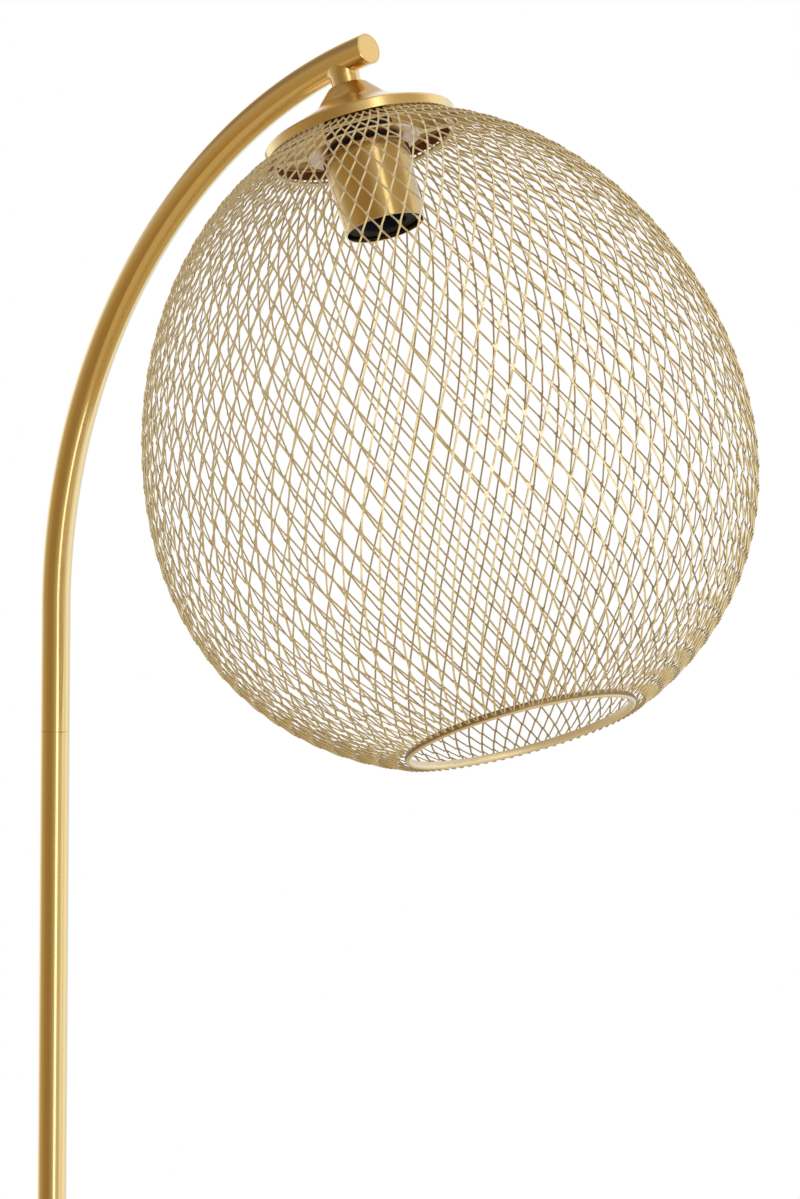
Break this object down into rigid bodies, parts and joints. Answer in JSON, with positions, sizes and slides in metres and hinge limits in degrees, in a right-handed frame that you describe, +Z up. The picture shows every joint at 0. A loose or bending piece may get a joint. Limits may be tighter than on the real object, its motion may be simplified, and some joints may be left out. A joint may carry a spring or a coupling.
{
  "type": "floor lamp",
  "caption": "Arched floor lamp: straight tube pole on a round weighted base, a curved arm, and a tilted globe cage of crossing wires under a bell-shaped cap, around a socket cup.",
  "frame": {"origin": "centre of the felt pad's underside, on the pole's axis, at floor level", "axes": "+Z up along the pole; +X towards the shade, in the plane of the arm's arch; +Y completes the right-handed frame"},
  "size_m": [0.691, 0.3832, 1.5204],
  "materials": {
    "satin_brass": "brushed satin, clear lacquer",
    "champagne_mesh": "matt champagne gold coating",
    "zinc_steel": "bright zinc plating",
    "cast_iron": "as cast, black primer",
    "felt": "dense black felt",
    "black_rubber": "moulded",
    "black_plastic": "moulded, fine matt",
    "black_gloss": "moulded, glossy",
    "contact_brass": "bare stamped brass"
  },
  "bodies": {
    "lamp": {"base_pad": "felt", "base_weight": "cast_iron", "base_cover": "satin_brass", "cord_inlet": "black_rubber", "foot_washer": "zinc_steel", "foot_nut": "zinc_steel", "foot_stud": "zinc_steel", "lower_pole": "satin_brass", "upper_pole": "satin_brass", "tube_inserts": "zinc_steel", "coupling_studs": "zinc_steel", "arm_tube": "satin_brass", "arm_end_cap": "satin_brass", "neck": "satin_brass", "neck_plug": "zinc_steel", "threaded_nipple": "zinc_steel", "bell_cap": "satin_brass", "cage_spacer": "black_plastic", "cage_bridge": "champagne_mesh", "cage_top_ring": "champagne_mesh", "cage_inner_strands": "champagne_mesh", "cage_outer_strands": "champagne_mesh", "cage_bottom_ring": "champagne_mesh", "cover_plate": "zinc_steel", "cup_gasket": "black_rubber", "socket_cup": "satin_brass", "cup_washer": "zinc_steel", "cup_lock_nut": "zinc_steel", "lampholder_body": "black_gloss", "contact_carrier": "black_plastic", "thread_shell": "contact_brass", "terminal_blocks": "contact_brass", "terminal_screws": "zinc_steel"},
    "contact": {"centre_contact": "contact_brass"}
  },
  "joints": [
    {"name": "contact_press", "type": "slide", "parent": "lamp", "child": "contact", "axis": [-0.3502, 0, 0.9367], "range_m": [0, 0.0015], "stiffness_N_per_m": 1500}
  ]
}
